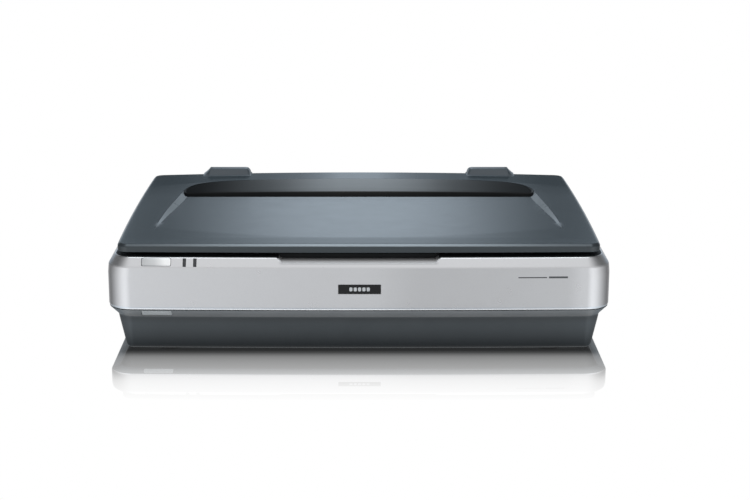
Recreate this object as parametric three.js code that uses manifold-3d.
// Flatbed scanner, A3 format: hollow lower and upper housings, glass bed,
// hinged lid on two lifting hinge posts, and a belt-driven scanning carriage.
// Millimetres, +Z up, +X to the right, +Y to the back. The origin is the centre
// of the footprint, on the table. Every mesh is one separate physical piece.
import * as THREE from 'three';
import { mergeVertices } from 'three/addons/utils/BufferGeometryUtils.js';
import Module from 'manifold-3d';

const wasm = await Module();
wasm.setup();

// ---------------------------------------------------------------- dimensions
// A pair in brackets is a range [low, high] unless its comment says otherwise.
const GAP = 0.3;               // assembly gap between neighbouring pieces
const WALL = 3;                // moulded wall thickness

const HALF_WIDTH = 328;        // of the silver band
const HALF_DEPTH = 229;        // at the middle of the front and back
const FRONT_BOW = 5;           // how far the front ends fall behind its middle
const FRONT_RADIUS = 32;       // corner radii in plan
const REAR_RADIUS = 26;
const Z_FLOOR = 4;             // underside of the lower housing
const FLOOR_TOP = Z_FLOOR + WALL;
const POST_FOOT = FLOOR_TOP - 1;        // posts start inside the floor to fuse with it
const Z_WAIST = 49.5;          // top of the tapered base, foot of the undercut
const Z_SEAM = 60.2;           // top of the lower housing
const WAIST_INSET = 12;
const SEAM_INSET = 0.6;
const Z_BAND = Z_SEAM + GAP;   // bottom of the silver band
const Z_SHOULDER = 118;        // start of the top chamfer
const Z_DECK = 131;            // top of the silver deck
const CHAMFER_IN = 6;          // horizontal run of the top chamfer

const BED_X = 219;             // half width of the scanned window
const BED_Y = [-172, 140];
const GLASS_LIP = 7;           // overlap of the glass past the window
const GLASS_X = BED_X + GLASS_LIP;
const GLASS_Z = [127.2, 130.2];
const FRAME_X = 296;           // half width of the raised bed frame
const FRAME_Y = [-200, 196];
const FRAME_HOLE_RADIUS = 6;

const LID_X = 312.5;           // half width at the front and back
const LID_Y = [-223, 217];
const LID_FRONT_BOW = 5;
const LID_BACK_BOW = 6;
const LID_SIDE_BOW = 3.2;      // how far the sides swell at mid depth
const LID_RADIUS = 14;
const Z_LID = 136.5;           // bottom edge
const Z_LID_SIDE = 144.3;      // top of the upright side
const STRIP_FRONT = 77;        // front line of the accent strip
const STRIP_FLOOR = 142.5;     // floor of the strip's pocket

const AXIS_Y = 216;            // lid hinge line
const AXIS_Z = 145;
const HINGE_X = 201;           // hinge centres left and right of the middle
const HINGE_HALF = 35;
const BARREL_RADIUS = 13;
const POST_HALF = 15;
const POST_THICKNESS = 10;
const PIN_RADIUS = 3;
const SIDES = [['left', -1], ['right', 1]];

const CARRIAGE_X = -262;
const CARRIAGE_HALF = 42;
const CARRIAGE_Y = [-188, 150];
const CARRIAGE_MID_Y = (CARRIAGE_Y[0] + CARRIAGE_Y[1]) / 2;
const CARRIAGE_Z = [75, 122];
const UNDER_CARRIAGE = CARRIAGE_Z[0] - GAP;
const ROD_Y = 60;
const ROD_Z = 64;
const ROD_RADIUS = 5;
const RAIL_Y = -150;
const RAIL_Z = [60, 68];

const BELT_Y = 20;
const BELT_Z = 60;             // lower edge of the belt
const BELT_WIDTH = 8;
const PULLEY_RADIUS = 9;
const DRIVE_X = 276;
const IDLER_X = -280;
const ABUTMENT_X = [-243, -237];        // post that holds the fixed end of the spring

const BOARD_Z = 66;            // underside of the rear boards
const PANEL_X = [-150, 150];   // port panel
const PANEL_Z = [66, 92];

// -------------------------------------------------------------------- shapes
const vector = (x, y, z) => new THREE.Vector3(x, y, z);
const grow = ([low, high], margin) => [low - margin, high + margin];
const around = (centre, half) => [centre - half, centre + half];
const series = (first, last, place) =>
  Array.from({ length: last - first + 1 }, (_, i) => place(first + i));

function solid(geometry) {
  const bare = geometry.clone();
  for (const name of Object.keys(bare.attributes)) {
    if (name !== 'position') bare.deleteAttribute(name);
  }
  const merged = mergeVertices(bare, 1e-5);
  return new wasm.Manifold(new wasm.Mesh({
    numProp: 3,
    vertProperties: new Float32Array(merged.attributes.position.array),
    triVerts: new Uint32Array(merged.index.array),
  }));
}

function indexed(positions, indices) {
  const geometry = new THREE.BufferGeometry();
  geometry.setAttribute('position', new THREE.BufferAttribute(new Float32Array(positions), 3));
  geometry.setIndex(new THREE.BufferAttribute(new Uint32Array(indices), 1));
  return geometry;
}

function geometryOf(manifold) {
  const mesh = manifold.getMesh();
  const geometry = indexed(mesh.vertProperties, mesh.triVerts);
  geometry.computeVertexNormals();
  return geometry;
}

const join = (...parts) => parts.reduce((a, b) => a.add(b));
const cut = (body, ...tools) => tools.reduce((a, b) => a.subtract(b), body);

function boxGeometry([x0, x1], [y0, y1], [z0, z1]) {
  const geometry = new THREE.BoxGeometry(x1 - x0, y1 - y0, z1 - z0);
  return geometry.translate((x0 + x1) / 2, (y0 + y1) / 2, (z0 + z1) / 2);
}

// The centre holds the two coordinates across the axis, in x, y, z order.
function cylinderGeometry(axis, radius, [low, high], [first, second], segments) {
  const geometry = new THREE.CylinderGeometry(radius, radius, high - low, segments);
  const middle = (low + high) / 2;
  if (axis === 'z') return geometry.rotateX(Math.PI / 2).translate(first, second, middle);
  if (axis === 'x') return geometry.rotateZ(Math.PI / 2).translate(middle, first, second);
  return geometry.translate(first, middle, second);
}

const box = (...spans) => solid(boxGeometry(...spans));
const cylinder = (...sizes) => solid(cylinderGeometry(...sizes));

// A closed solid through a stack of rings with equal point counts.
function loft(rings) {
  const count = rings[0].length;
  const topStart = (rings.length - 1) * count;
  const low = rings.length * count;
  const high = low + 1;
  const middle = ring => ring.reduce((sum, p) => sum.map((s, k) => s + p[k] / count), [0, 0, 0]);
  const positions = [...rings.flat(), middle(rings[0]), middle(rings.at(-1))].flat();
  const indices = [];
  for (let start = 0; start < topStart; start += count) {
    for (let i = 0; i < count; i++) {
      const here = start + i;
      const next = start + (i + 1) % count;
      indices.push(here, next, next + count, here, next + count, here + count);
    }
  }
  for (let i = 0; i < count; i++) {
    const j = (i + 1) % count;
    indices.push(low, j, i, high, topStart + i, topStart + j);
  }
  return indexed(positions, indices);
}

// ------------------------------------------------------------------ outlines
const CORNER_STEPS = 5;
const FRONT_STEPS = 8;

// Plan outline with bowed front and back and round corners, counter-clockwise.
function plan({ halfWidth, depth, frontBow, backBow = 0, frontRadius, backRadius, inset,
  backSteps = 1, sideSteps = 1 }) {
  const front = x => depth[0] + frontBow * (x / halfWidth) ** 2;
  const back = x => depth[1] - backBow * (x / halfWidth) ** 2;
  const frontX = halfWidth - frontRadius;
  const backX = halfWidth - backRadius;
  const sideFront = front(frontX) + frontRadius;
  const sideBack = back(backX) - backRadius;
  // A quarter turn that leaves out its last point (first = 0) or its first (first = 1).
  const corner = (x, y, radius, quarter, first) =>
    series(first, first + CORNER_STEPS - 1, i => {
      const angle = Math.PI / 2 * quarter + Math.PI / 2 * i / CORNER_STEPS;
      return [x + radius * Math.cos(angle), y + radius * Math.sin(angle)];
    });
  const side = (x, from, to) =>
    series(1, sideSteps - 1, i => [x, from + (to - from) * i / sideSteps]);
  return [
    ...series(0, FRONT_STEPS, i => {
      const x = -frontX + 2 * frontX * i / FRONT_STEPS;
      return [x, front(x) + inset];
    }),
    ...corner(frontX, sideFront, frontRadius - inset, -1, 1),
    ...side(halfWidth - inset, sideFront, sideBack),
    ...corner(backX, sideBack, backRadius - inset, 0, 0),
    ...series(0, backSteps, i => {
      const x = backX - 2 * backX * i / backSteps;
      return [x, back(x) - inset];
    }),
    ...corner(-backX, sideBack, backRadius - inset, 1, 1),
    ...side(-halfWidth + inset, sideBack, sideFront),
    ...corner(-frontX, sideFront, frontRadius - inset, 2, 0),
  ];
}

const bodyPlan = inset => plan({
  halfWidth: HALF_WIDTH, depth: [-HALF_DEPTH, HALF_DEPTH], frontBow: FRONT_BOW,
  frontRadius: FRONT_RADIUS, backRadius: REAR_RADIUS, inset,
});

function lidPlan(inset) {
  const middle = (LID_Y[0] + LID_Y[1]) / 2;
  const halfDepth = (LID_Y[1] - LID_Y[0]) / 2;
  const swell = y => 1 + LID_SIDE_BOW / LID_X * (1 - ((y - middle) / halfDepth) ** 2);
  return plan({
    halfWidth: LID_X, depth: LID_Y, frontBow: LID_FRONT_BOW, backBow: LID_BACK_BOW,
    frontRadius: LID_RADIUS, backRadius: LID_RADIUS, inset, backSteps: 8, sideSteps: 8,
  }).map(([x, y]) => [x * swell(y), y]);
}

function roundRect([x0, x1], [y0, y1], radius, steps = 4) {
  const corners = [
    [x1 - radius, y0 + radius, -90], [x1 - radius, y1 - radius, 0],
    [x0 + radius, y1 - radius, 90], [x0 + radius, y0 + radius, 180],
  ];
  return corners.flatMap(([x, y, start]) => series(0, steps, i => {
    const angle = (start + 90 * i / steps) * Math.PI / 180;
    return [x + radius * Math.cos(angle), y + radius * Math.sin(angle)];
  }));
}

// Moves each point of a counter-clockwise outline outward by a distance.
function offset(outline, distance) {
  const count = outline.length;
  return outline.map(([x, y], i) => {
    const before = outline[(i + count - 1) % count];
    const after = outline[(i + 1) % count];
    const alongX = after[0] - before[0];
    const alongY = after[1] - before[1];
    const length = Math.hypot(alongX, alongY);
    return [x + alongY / length * distance, y - alongX / length * distance];
  });
}

const scaled = (outline, scale, centreY) =>
  outline.map(([x, y]) => [x * scale, centreY + (y - centreY) * scale]);

// Lifts a plan outline to a height, or to a height function of x and y.
const at = (outline, height) =>
  outline.map(([x, y]) => [x, y, typeof height === 'function' ? height(x, y) : height]);

const prism = (outline, z0, z1) => loft([at(outline, z0), at(outline, z1)]);

// Body-shaped solid through levels of [z, inset].
const bodyStack = levels => solid(loft(levels.map(([z, inset]) => at(bodyPlan(inset), z))));

// Prism along Y from an (x, z) outline.
function prismY(outline, [y0, y1]) {
  const shape = new THREE.Shape(outline.map(([x, z]) => new THREE.Vector2(x, z)));
  const geometry = new THREE.ExtrudeGeometry(shape, { depth: y1 - y0, bevelEnabled: false });
  const turn = new THREE.Matrix4().makeBasis(vector(1, 0, 0), vector(0, 0, 1), vector(0, -1, 0));
  return geometry.applyMatrix4(turn).translate(0, y1, 0);
}

// ------------------------------------------------------------------ materials
const MATERIALS = {
  silver: { color: 0xbfc0c3, roughness: 0.38, metalness: 0.35 },
  dark: { color: 0x4a555c, roughness: 0.5, metalness: 0.05 },
  lid: { color: 0x4d585f, roughness: 0.32, metalness: 0.05 },
  gloss: { color: 0x1d2225, roughness: 0.08, metalness: 0.1 },
  black: { color: 0x15171a, roughness: 0.5, metalness: 0 },
  glass: { color: 0xaec4c8, roughness: 0.05, metalness: 0 },
  white: { color: 0xe9eae8, roughness: 0.8, metalness: 0 },
  steel: { color: 0x9aa0a4, roughness: 0.3, metalness: 1 },
  pcb: { color: 0x1e5b3a, roughness: 0.5, metalness: 0.1 },
  rubber: { color: 0x222426, roughness: 0.85, metalness: 0 },
  brass: { color: 0xb8924a, roughness: 0.35, metalness: 1 },
  button: { color: 0xc9cbcc, roughness: 0.35, metalness: 0.2 },
  grey: { color: 0x868d91, roughness: 0.45, metalness: 0 },
  lamp: { color: 0xf4f6f2, roughness: 0.3, metalness: 0 },
  mirror: { color: 0xdfe6ea, roughness: 0.03, metalness: 1 },
};

const scanner = new THREE.Group();
const base = new THREE.Group();
const lid = new THREE.Group();
const hinges = new THREE.Group();
const carriage = new THREE.Group();
scanner.add(base, lid, hinges, carriage);

function addPiece(group, name, material, shape) {
  const geometry = shape instanceof THREE.BufferGeometry ? shape : geometryOf(shape);
  const mesh = new THREE.Mesh(geometry, new THREE.MeshStandardMaterial(MATERIALS[material]));
  mesh.name = name;
  group.add(mesh);
}

// ------------------------------------------------- frames on the front faces
const frontY = x => -HALF_DEPTH + FRONT_BOW * (x / HALF_WIDTH) ** 2;

// Local frame on a sloping face: X along the face, Y up the slope, Z outward.
// The slope is its run in y and its rise in z.
function faceFrame(x, inset, z, [run, rise]) {
  const along = vector(1, 0, 0);
  const up = vector(0, run, rise).normalize();
  const yaw = Math.atan(2 * FRONT_BOW * x / HALF_WIDTH ** 2);
  return new THREE.Matrix4()
    .makeBasis(along, up, vector(0, 0, 0).crossVectors(along, up))
    .premultiply(new THREE.Matrix4().makeRotationZ(yaw))
    .setPosition(x, frontY(x) + inset, z);
}

const CHAMFER_RISE = Z_DECK - Z_SHOULDER;
const chamferFrame = (x, z = (Z_SHOULDER + Z_DECK) / 2) =>
  faceFrame(x, CHAMFER_IN * (z - Z_SHOULDER) / CHAMFER_RISE, z, [CHAMFER_IN, CHAMFER_RISE]);
const undercutFrame = x => faceFrame(x, (WAIST_INSET + SEAM_INSET) / 2, (Z_WAIST + Z_SEAM) / 2,
  [SEAM_INSET - WAIST_INSET, Z_SEAM - Z_WAIST]);

const faceBox = (frame, size, shift) =>
  new THREE.BoxGeometry(...size).translate(...shift).applyMatrix4(frame);
const faceHole = (frame, [width, height], clearance) =>
  solid(faceBox(frame, [width + clearance, height + clearance, 16], [0, 0, 0]));

const START = { frame: chamferFrame(-261.5), size: [37.9, 10.3] };       // size: width, height
const POWER = { frame: undercutFrame(-261.4), size: [39.2, 11.2] };
const BUTTON_CLEARANCE = 0.8;

// Button face with a wider flange behind it.
function button({ frame, size: [width, height] }, { depth, sink, flange, flangeShift }) {
  const [flangeTrim, flangeDepth] = flange;
  return join(
    solid(faceBox(frame, [width, height, depth], [0, 0, -sink])),
    solid(faceBox(frame, [width + 4, height - flangeTrim, flangeDepth], [0, ...flangeShift])),
  );
}

// ------------------------------------------------------------- upper housing
const LIGHT_SIZE = [3.8, 10.8];         // width, height
const LIGHTS = [['ready_light', -225], ['error_light', -211.4]]
  .map(([name, x]) => ({ name, frame: chamferFrame(x, 124) }));
const BADGE = { x: 1, z: 89.5, halfWidth: 27.6, halfHeight: 6.15, clearance: 0.6 };
const NOTCH_TOP = 106;                  // half widths of the notch in the front edge
const NOTCH_BOTTOM = 99;
const Z_NOTCH = 125;

// Symmetric (x, z) trapezium.
const trapezium = (topHalf, bottomHalf, top, bottom) =>
  [[-bottomHalf, bottom], [bottomHalf, bottom], [topHalf, top], [-topHalf, top]];

function upperHousing() {
  const outer = bodyStack([
    [Z_BAND, 1.6], [64.5, 0], [Z_SHOULDER, 0], [129.6, 5.2], [Z_DECK, 6.6],
  ]);
  const cavity = bodyStack([[Z_BAND - 1, WALL], [116.6, WALL], [128, 8.2]]);
  // Material kept inside the housing around the notch.
  const notchBlock = solid(prismY(
    trapezium(NOTCH_TOP + 3, NOTCH_BOTTOM + 2.4, Z_DECK, Z_NOTCH - WALL),
    [-236, FRAME_Y[0] - GAP]));
  // The notch cutter runs 1 mm above the deck, hence its wider top.
  const notch = solid(prismY(
    trapezium(NOTCH_TOP + 1.17, NOTCH_BOTTOM, Z_DECK + 1, Z_NOTCH),
    [-240, FRAME_Y[0] - GAP - WALL]));
  const bedOpening = solid(prism(
    roundRect(around(0, FRAME_X + GAP), grow(FRAME_Y, GAP), FRAME_HOLE_RADIUS), 127, 133));
  const badgeRecess = box(
    around(BADGE.x, BADGE.halfWidth + BADGE.clearance), [-232, -227.7],
    around(BADGE.z, BADGE.halfHeight + BADGE.clearance));
  return cut(
    outer, cut(cavity, notchBlock), bedOpening, notch,
    faceHole(START.frame, START.size, BUTTON_CLEARANCE),
    ...LIGHTS.map(({ frame }) => faceHole(frame, LIGHT_SIZE, 0.6)),
    badgeRecess,
    box(grow(PANEL_X, GAP), [220, 232], grow(PANEL_Z, GAP)),
    ...SIDES.map(([, sign]) => box(around(sign * HINGE_X, POST_HALF + 0.6),
      around(AXIS_Y, POST_THICKNESS / 2 + 0.6), [120, 133])),
  );
}

addPiece(base, 'upper_housing', 'silver', upperHousing());
addPiece(base, 'badge_plate', 'gloss', boxGeometry(
  around(BADGE.x, BADGE.halfWidth), [-229, -228], around(BADGE.z, BADGE.halfHeight)));
for (const { name, frame } of LIGHTS) {
  addPiece(base, name, 'black', faceBox(frame, [...LIGHT_SIZE, 6], [0, 0, -2.9]));
}
addPiece(base, 'start_button', 'button', button(START,
  { depth: 6.5, sink: 2.85, flange: [2, 1.2], flangeShift: [0, -5.9] }));
addPiece(base, 'panel_board', 'pcb', boxGeometry([-292, -200], [-212.6, -211], [94, 123]));

// ------------------------------------------------------------- lower housing
const SCREWS = [[-285, -148], [285, -148], [-285, 150], [285, 150]];     // x, y
const FEET = [                                                          // name, x, y
  ['foot_front_left', -252, -182], ['foot_front_right', 252, -182],
  ['foot_rear_left', -252, 184], ['foot_rear_right', 252, 184],
];
const FOOT_TOP = Z_FLOOR - GAP;
const FOOT_PROFILE = [[0, 0], [10.5, 0], [12, 1], [12, FOOT_TOP], [0, FOOT_TOP]];  // radius, z
const LOCK_X = -262;
const LOCK_Y = -60;
const LOCK = [LOCK_X, LOCK_Y];

function lowerHousing() {
  const outer = bodyStack([
    [Z_FLOOR, 25], [5.5, 22], [9, 20.2], [45, 12.9], [Z_WAIST, WAIST_INSET], [Z_SEAM, SEAM_INSET],
  ]);
  const cavity = bodyStack([
    [FLOOR_TOP, 26], [10, 23.6], [45, 16.1], [50.7, 15.2], [Z_SEAM + 1, 4],
  ]);
  const posts = [
    ...SCREWS.map(place => cylinder('z', 7, [5, 59.8], place, 12)),
    ...SIDES.map(([, sign]) =>                                          // guide rod saddles
      box(around(sign * 297, 5), around(ROD_Y, 9), [POST_FOOT, ROD_Z + 1])),
    ...[-292, 0, 292].map(x =>                                          // slide rail posts
      box(around(x, 6), around(RAIL_Y, 6), [POST_FOOT, RAIL_Z[0] - GAP])),
    box(ABUTMENT_X, around(BELT_Y, 8), [POST_FOOT, 52]),
    ...[-142, -14, 14, 142].map(x =>                                    // board posts
      box(around(x, 4), [168, 176], [POST_FOOT, BOARD_Z - GAP])),
  ];
  const holes = [
    ...SCREWS.flatMap(place => [                                        // head recess and bore
      cylinder('z', 4.5, [3, 8], place, 12),
      cylinder('z', 2.3, [7, 61], place, 12),
    ]),
    cylinder('x', ROD_RADIUS + 0.35, [-310, 310], [ROD_Y, ROD_Z], 20),
    box([-310, 310], around(ROD_Y, ROD_RADIUS + 0.3), [ROD_Z, ROD_Z + 10]),
    cylinder('z', 6.4, [2, 9], LOCK, 16),
    faceHole(POWER.frame, POWER.size, BUTTON_CLEARANCE),
  ];
  return cut(join(cut(outer, cavity), ...posts), ...holes);
}

function foot(x, y) {
  const profile = FOOT_PROFILE.map(point => new THREE.Vector2(...point));
  return solid(new THREE.LatheGeometry(profile, 20).rotateX(Math.PI / 2).translate(x, y, 0));
}

// Slotted disc below the floor, stem through it and an arm pointing right above it.
function transportLock() {
  return cut(
    join(
      cylinder('z', 10, [1.4, FOOT_TOP], LOCK, 20),
      cylinder('z', 6, [3.4, 18], LOCK, 16),
      box([LOCK_X - 5, LOCK_X + 20], around(LOCK_Y, 4), [13, 19]),
    ),
    box(around(LOCK_X, 8), around(LOCK_Y, 1.2), [0, 2.6]),
  );
}

addPiece(base, 'lower_housing', 'dark', lowerHousing());
addPiece(base, 'power_button', 'grey', button(POWER,
  { depth: 3.9, sink: 1.55, flange: [4, 1.6], flangeShift: [-1.4, -4.1] }));
SCREWS.forEach((place, i) => addPiece(base, `housing_screw_${i + 1}`, 'steel', join(
  cylinder('z', 4.1, [4.6, 6.7], place, 12),
  cylinder('z', 1.9, [6.5, 50], place, 8),
)));
for (const [name, x, y] of FEET) addPiece(base, name, 'rubber', foot(x, y));
addPiece(base, 'transport_lock', 'grey', transportLock());

// ------------------------------------------------------------------ glass bed
function glassFrame() {
  const raised = solid(prism(
    roundRect(around(0, FRAME_X), FRAME_Y, FRAME_HOLE_RADIUS - GAP), 126, Z_DECK));
  const flange = solid(prism(
    roundRect(around(0, FRAME_X + 6), [FRAME_Y[0] + 0.2, FRAME_Y[1] + 5], 6), 124.6, 127.7));
  const glassPocket = box(
    around(0, GLASS_X + GAP), grow(BED_Y, GLASS_LIP + GAP), [GLASS_Z[0] - GAP, 135]);
  const window = box(around(0, BED_X), BED_Y, [120, 135]);
  return cut(join(raised, flange), glassPocket, window);
}

addPiece(base, 'glass_frame', 'dark', glassFrame());
addPiece(base, 'platen_glass', 'glass',
  boxGeometry(around(0, GLASS_X), grow(BED_Y, GLASS_LIP), GLASS_Z));
addPiece(base, 'calibration_strip', 'white', boxGeometry([-236, -221], BED_Y, [123.5, 124.3]));

// ------------------------------------------------------------------------ lid
const CUT_TOP = 175;                    // height that clears the lid
const CROWN_START = -193;               // where the lid top starts to rise toward the strip
const DISH_LOW = 142.9;                 // dish floor at the strip
const DISH_SLOPE = 6.8 / 270;           // rise of the dish floor toward the front

// Height of the lid's top surface.
function crown(x, y) {
  const rise = THREE.MathUtils.smoothstep(y, CROWN_START, STRIP_FRONT);
  const frontFade = THREE.MathUtils.clamp((y - LID_Y[0] - 3) / 26, 0, 1);
  return 147.6 + (2.1 + 1.3 * rise) * (1 - (x / LID_X) ** 2) * frontFade;
}
const crownPlus = lift => (x, y) => crown(x, y) + lift;

// Right halves of plan outlines, as x, y.
// Accent strip: straight front, long flat curve behind, pointed ends.
const STRIP_HALF = [
  [0, 167], [79, 165.8], [133, 164.5], [160, 162.6], [187, 160], [214, 155],
  [230, 147.5], [242, 135], [250, 118], [254.5, 100], [256, 86], [253, STRIP_FRONT],
];
// Shallow dish in front of the strip.
const DISH_HALF = [
  [256, STRIP_FRONT], [261, 70], [265.5, 30], [269, -15], [271.5, -77],
  [272.5, -141], [265, -166], [240, -196], [180, -208], [90, -214],
];
const mirrored = half => half.map(([x, y]) => [-x, y]);
const STRIP = [...STRIP_HALF.toReversed(), ...mirrored(STRIP_HALF.slice(1))];
const DISH = [...mirrored(DISH_HALF), ...DISH_HALF.toReversed()];

// The cutters below take the skin thickness to keep around and under each recess.
function dishCutter(margin = 0, drop = 0) {
  const outline = offset(DISH, margin);
  const floor = (x, y) => DISH_LOW + (STRIP_FRONT - y) * DISH_SLOPE - drop;
  return solid(loft([at(outline, floor), at(outline, CUT_TOP)]));
}
const stripCutter = (outline, drop) => solid(prism(outline, STRIP_FLOOR - drop, CUT_TOP));
const hingeWells = margin => SIDES.map(([, sign]) => box(
  around(sign * HINGE_X, HINGE_HALF + GAP + margin),
  [AXIS_Y - BARREL_RADIUS - 0.4 - margin, 240], [130, 170]));

function lidShell() {
  const rim = lidPlan(4);
  const innerRim = lidPlan(6);
  const outer = solid(loft([
    at(lidPlan(0), Z_LID),
    at(lidPlan(0), Z_LID_SIDE),
    at(lidPlan(1.1), 146.6),
    at(rim, crownPlus(-0.1)),
    ...[0.93, 0.8, 0.6, 0.4, 0.2].map(scale => at(scaled(rim, scale, 0), crown)),
  ]));
  const inner = solid(loft([
    at(lidPlan(WALL), Z_LID - 1),
    at(lidPlan(WALL), 143),
    at(innerRim, 144.4),
    ...[0.9, 0.6, 0.3].map(scale => at(scaled(innerRim, scale, 0), crownPlus(-WALL))),
  ]));
  const skin = 2.8;
  const floorSkin = 2.4;
  const cavity = cut(inner, dishCutter(skin, floorSkin),
    stripCutter(offset(STRIP, skin), floorSkin), ...hingeWells(WALL));
  return cut(outer, cavity, dishCutter(), stripCutter(STRIP, 0), ...hingeWells(0));
}

function lidStrip() {
  const side = offset(STRIP, -GAP);
  const top = offset(STRIP, -GAP - 0.9);
  const centreY = 110;
  return solid(loft([
    at(side, STRIP_FLOOR + GAP),
    at(side, crownPlus(-0.7)),
    at(top, crownPlus(0.1)),
    at(scaled(top, 0.7, centreY), crownPlus(0.5)),
    at(scaled(top, 0.35, centreY), crownPlus(0.6)),
  ]));
}

addPiece(lid, 'lid_shell', 'lid', lidShell());
addPiece(lid, 'lid_inner_panel', 'dark',
  cut(solid(prism(lidPlan(3.6), Z_LID + 0.3, Z_LID + 2.3)), ...hingeWells(3.4)));
addPiece(lid, 'lid_strip', 'gloss', lidStrip());
addPiece(lid, 'document_mat', 'white',
  prism(roundRect([-230, 230], [-184, 152], 5, 3), 131.3, Z_LID));

// --------------------------------------------------------------------- hinges
const AXIS = [AXIS_Y, AXIS_Z];
const BARREL_SEGMENTS = 28;
const BARREL_PROFILE = [                // x from the hinge centre, radius
  [-HINGE_HALF, 8], [-33, 11.4], [-28, BARREL_RADIUS],
  [28, BARREL_RADIUS], [33, 11.4], [HINGE_HALF, 8],
];

function hingeCover(centre) {
  const barrel = loft(BARREL_PROFILE.map(([x, radius]) => series(0, BARREL_SEGMENTS - 1, i => {
    const angle = 2 * Math.PI * i / BARREL_SEGMENTS;
    return [centre + x, AXIS_Y + radius * Math.cos(angle), AXIS_Z + radius * Math.sin(angle)];
  })));
  const span = around(centre, 18);
  return cut(
    solid(barrel),
    cylinder('x', 10.4, span, AXIS, 24),
    box(span, [AXIS_Y - 6.6, 240], [125, AXIS_Z + 6.6]),
    cylinder('x', PIN_RADIUS + 0.35, around(centre, 26), AXIS, 16),
  );
}

function hingePost(centre) {
  const span = around(centre, POST_HALF);
  return cut(
    join(
      cylinder('x', 8, span, AXIS, 20),
      box(span, around(AXIS_Y, POST_THICKNESS / 2), [72, AXIS_Z]),
    ),
    cylinder('x', PIN_RADIUS + 0.3, around(centre, 30), AXIS, 16),
  );
}

const hingeSocket = centre => cut(
  box(around(centre, 19), around(AXIS_Y, 9), [66, 116]),
  box(around(centre, POST_HALF + 0.5), around(AXIS_Y, POST_THICKNESS / 2 + 0.5), [69, 140]),
);

for (const [side, sign] of SIDES) {
  const centre = sign * HINGE_X;
  addPiece(lid, `hinge_cover_${side}`, 'dark', hingeCover(centre));
  addPiece(hinges, `hinge_post_${side}`, 'black', hingePost(centre));
  addPiece(hinges, `hinge_pin_${side}`, 'steel',
    cylinderGeometry('x', PIN_RADIUS, around(centre, 25), AXIS, 16));
  addPiece(base, `hinge_socket_${side}`, 'black', hingeSocket(centre));
}

// ---------------------------------------------------------- scanning carriage
const LAMP_X = CARRIAGE_X - 8;
const REFLECTOR = [                     // x from the lamp, z
  [-7, 118.5], [-7, 108.5], [7, 108.5], [7, 113],
  [5.9, 113], [5.9, 109.6], [-5.9, 109.6], [-5.9, 118.5],
];
const MIRRORS = [                       // name, x, z, turn about Y in degrees
  ['mirror_1', CARRIAGE_X + 8, 84.5, -45],
  ['mirror_2', CARRIAGE_X - 31, 86, 45],
];

function carriageHousing() {
  const span = around(CARRIAGE_X, CARRIAGE_HALF);
  const [bottom, top] = CARRIAGE_Z;
  return cut(
    box(span, CARRIAGE_Y, CARRIAGE_Z),
    box(grow(span, -2.5), grow(CARRIAGE_Y, -2.5), [bottom + 2.5, top - 2]),
    box(around(CARRIAGE_X, 17), grow(CARRIAGE_Y, -7), [top - 10, top + 5]),
  );
}

function lensBarrel() {
  const centre = [CARRIAGE_MID_Y, 97];
  return cut(
    cylinder('x', 9, [CARRIAGE_X - 18, CARRIAGE_X - 2], centre, 16),
    cylinder('x', 6, [CARRIAGE_X - 20, CARRIAGE_X - 14], centre, 12),
  );
}

const carriageBush = x => cut(
  box(around(x, 6), around(ROD_Y, 9), [55, UNDER_CARRIAGE]),
  cylinder('x', ROD_RADIUS + 0.3, around(CARRIAGE_X, 40), [ROD_Y, ROD_Z], 20),
);

addPiece(carriage, 'carriage_housing', 'black', carriageHousing());
addPiece(carriage, 'lamp_tube', 'lamp',
  cylinderGeometry('y', 3.6, grow(CARRIAGE_Y, -9), [LAMP_X, 114.5], 14));
addPiece(carriage, 'lamp_reflector', 'mirror',
  prismY(REFLECTOR.map(([x, z]) => [LAMP_X + x, z]), grow(CARRIAGE_Y, -8)));
for (const [name, x, z, degrees] of MIRRORS) {
  addPiece(carriage, name, 'mirror', new THREE.BoxGeometry(14, 310, 2)
    .rotateY(degrees * Math.PI / 180).translate(x, CARRIAGE_MID_Y, z));
}
addPiece(carriage, 'lens_barrel', 'black', lensBarrel());
addPiece(carriage, 'sensor_board', 'pcb',
  boxGeometry([CARRIAGE_X + 30, CARRIAGE_X + 32], [-60, 22], [79, 117]));
for (const [side, sign] of SIDES) {
  addPiece(carriage, `carriage_bush_${side}`, 'brass', carriageBush(CARRIAGE_X + sign * 20));
}
addPiece(carriage, 'slider_shoe', 'white', boxGeometry(
  around(CARRIAGE_X, 15), around(RAIL_Y, 5), [RAIL_Z[1] + GAP, UNDER_CARRIAGE]));
addPiece(carriage, 'belt_clamp', 'black', boxGeometry(
  [CARRIAGE_X + 10, CARRIAGE_X + 30], [1.9, BELT_Y - PULLEY_RADIUS - 2.1], [58, UNDER_CARRIAGE]));
addPiece(base, 'guide_rod', 'steel',
  cylinderGeometry('x', ROD_RADIUS, [-301, 301], [ROD_Y, ROD_Z], 16));
addPiece(base, 'slide_rail', 'steel', boxGeometry([-300, 300], around(RAIL_Y, 6), RAIL_Z));

// ----------------------------------------------------------------- belt drive
const DRIVE = [DRIVE_X, BELT_Y];
const IDLER = [IDLER_X, BELT_Y];
const SHAFT_RADIUS = 2.5;
const SHAFT_TOP = 71.5;
const BRACKET_FOOT = FLOOR_TOP + GAP;
const IDLER_RIGHT = IDLER_X + 18;       // right face of the idler bracket

const pulley = centre => cut(
  join(
    cylinder('z', PULLEY_RADIUS, [59, 69], centre, 18),
    cylinder('z', 11, [58, 59.4], centre, 18),
    cylinder('z', 11, [68.6, 70], centre, 18),
  ),
  cylinder('z', SHAFT_RADIUS + 0.35, [50, 75], centre, 12),
);

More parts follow.
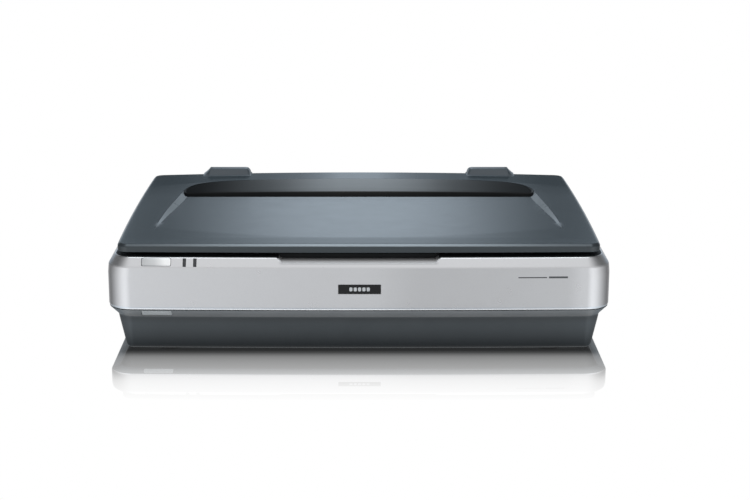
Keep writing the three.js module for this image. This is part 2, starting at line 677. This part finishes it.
function motorBracket() {
  const span = around(DRIVE_X, 25);
  return cut(
    join(
      box(span, [-6, 46], [50.3, 52.3]),
      box(span, [-6, -4], [BRACKET_FOOT, 51]),
      box(span, [44, 46], [BRACKET_FOOT, 51]),
    ),
    cylinder('z', 5, [45, 60], DRIVE, 12),
  );
}

const idlerBracket = () => join(
  box([IDLER_X - 18, IDLER_RIGHT], around(BELT_Y, 12), [54, 56]),
  box([IDLER_X - 10, IDLER_RIGHT], around(BELT_Y, 8), [BRACKET_FOOT, 55]),
  cylinder('z', SHAFT_RADIUS, [55, SHAFT_TOP], IDLER, 12),
);

// Adds a loop around both pulleys to a path.
const beltLoop = (path, radius) => path
  .absarc(...DRIVE, radius, -Math.PI / 2, Math.PI / 2, false)
  .absarc(...IDLER, radius, Math.PI / 2, 3 * Math.PI / 2, false);

function driveBelt() {
  const shape = beltLoop(new THREE.Shape(), PULLEY_RADIUS + 1.8);
  shape.holes.push(beltLoop(new THREE.Path(), PULLEY_RADIUS + 0.3));
  const options = { depth: BELT_WIDTH, bevelEnabled: false, curveSegments: 14 };
  return solid(new THREE.ExtrudeGeometry(shape, options).translate(0, 0, BELT_Z));
}

const SPRING = { turns: 5, radius: 4.2, wireRadius: 0.55, z: 42 };

class SpringHelix extends THREE.Curve {
  getPoint(t) {
    const start = IDLER_RIGHT + GAP + 0.6;
    const end = ABUTMENT_X[0] - GAP - 0.6;
    const angle = 2 * Math.PI * SPRING.turns * t;
    return vector(start + (end - start) * t,
      BELT_Y + SPRING.radius * Math.cos(angle), SPRING.z + SPRING.radius * Math.sin(angle));
  }
}

// Compression spring between the idler bracket and its abutment.
function tensionSpring() {
  const wire = new THREE.Shape().absarc(0, 0, SPRING.wireRadius, 0, 2 * Math.PI, false);
  return solid(new THREE.ExtrudeGeometry(wire,
    { steps: SPRING.turns * 12, curveSegments: 3, extrudePath: new SpringHelix() }));
}

addPiece(base, 'drive_pulley', 'brass', pulley(DRIVE));
addPiece(base, 'idler_pulley', 'white', pulley(IDLER));
addPiece(base, 'motor_shaft', 'steel',
  cylinderGeometry('z', SHAFT_RADIUS, [32, SHAFT_TOP], DRIVE, 12));
addPiece(base, 'drive_motor', 'steel', cut(
  cylinder('z', 20, [12, 50], DRIVE, 24),
  cylinder('z', SHAFT_RADIUS + 0.4, [31, 55], DRIVE, 12),
));
addPiece(base, 'motor_bracket', 'steel', motorBracket());
addPiece(base, 'idler_bracket', 'steel', idlerBracket());
addPiece(base, 'drive_belt', 'rubber', driveBelt());
addPiece(base, 'tension_spring', 'steel', tensionSpring());

// ---------------------------------------------------------------- electronics
const BEND = { x: 22, z: 19.4, radius: 10, steps: 8 };
const CABLE_LINE = [                    // x, z along the middle of the ribbon
  [6, 9.4], [BEND.x, 9.4],
  ...series(1, BEND.steps, i => {
    const angle = -Math.PI / 2 + Math.PI * i / BEND.steps;
    return [BEND.x + BEND.radius * Math.cos(angle), BEND.z + BEND.radius * Math.sin(angle)];
  }),
  [-236, 29.4], [-246, 31], [-252, 37], [-253, 46], [-253, 74.6],
];

function ribbonCable() {
  const face = distance => CABLE_LINE.map(([x, z], i) => {
    const before = CABLE_LINE[Math.max(i - 1, 0)];
    const after = CABLE_LINE[Math.min(i + 1, CABLE_LINE.length - 1)];
    const alongX = after[0] - before[0];
    const alongZ = after[1] - before[1];
    const length = Math.hypot(alongX, alongZ);
    return [x - alongZ / length * distance, z + alongX / length * distance];
  });
  return solid(prismY([...face(-0.4), ...face(0.4).reverse()], [96, 128]));
}

// Parts on a board: x range, y range, height.
const MAIN_CHIPS = [
  [[30, 58], [176, 204], 2.4], [[70, 92], [180, 192], 2], [[104, 134], [172, 184], 5],
];
const POWER_PARTS = [
  [[-78, -44], [174, 208], 26], [[-100, -86], [178, 206], 22], [[-36, -20], [180, 196], 18],
];
const PORTS = [                         // name, material, x range, z range, front y, wall
  ['power_inlet', 'black', [-138, -110], [68.2, 88.4], 200, 3],
  ['usb_port', 'steel', [58, 70], [68.2, 79.4], 209, 1.6],
  ['option_port', 'steel', [92, 128], [68.2, 78], 212, 1.6],
];

function board(span, parts) {
  const top = BOARD_Z + 1.6;
  return join(
    box(span, [165, 222], [BOARD_Z, top]),
    ...parts.map(([x, y, height]) => box(x, y, [BOARD_Z + 1, top + height])),
  );
}

addPiece(base, 'ribbon_cable', 'white', ribbonCable());
addPiece(base, 'main_board', 'pcb', board([5, 150], MAIN_CHIPS));
addPiece(base, 'power_supply_board', 'pcb', board([-150, -5], POWER_PARTS));
for (const [name, material, x, z, front, wall] of PORTS) {
  addPiece(base, name, material, cut(
    box(x, [front, 228.6], z),
    box(grow(x, -wall), [front + 6, 240], grow(z, -wall)),
  ));
}
addPiece(base, 'port_panel', 'dark', cut(
  box(PANEL_X, [226.3, 228.3], PANEL_Z),
  ...PORTS.map(([, , x, z]) => box(grow(x, GAP), [220, 235], grow(z, GAP))),
));

export default scanner;
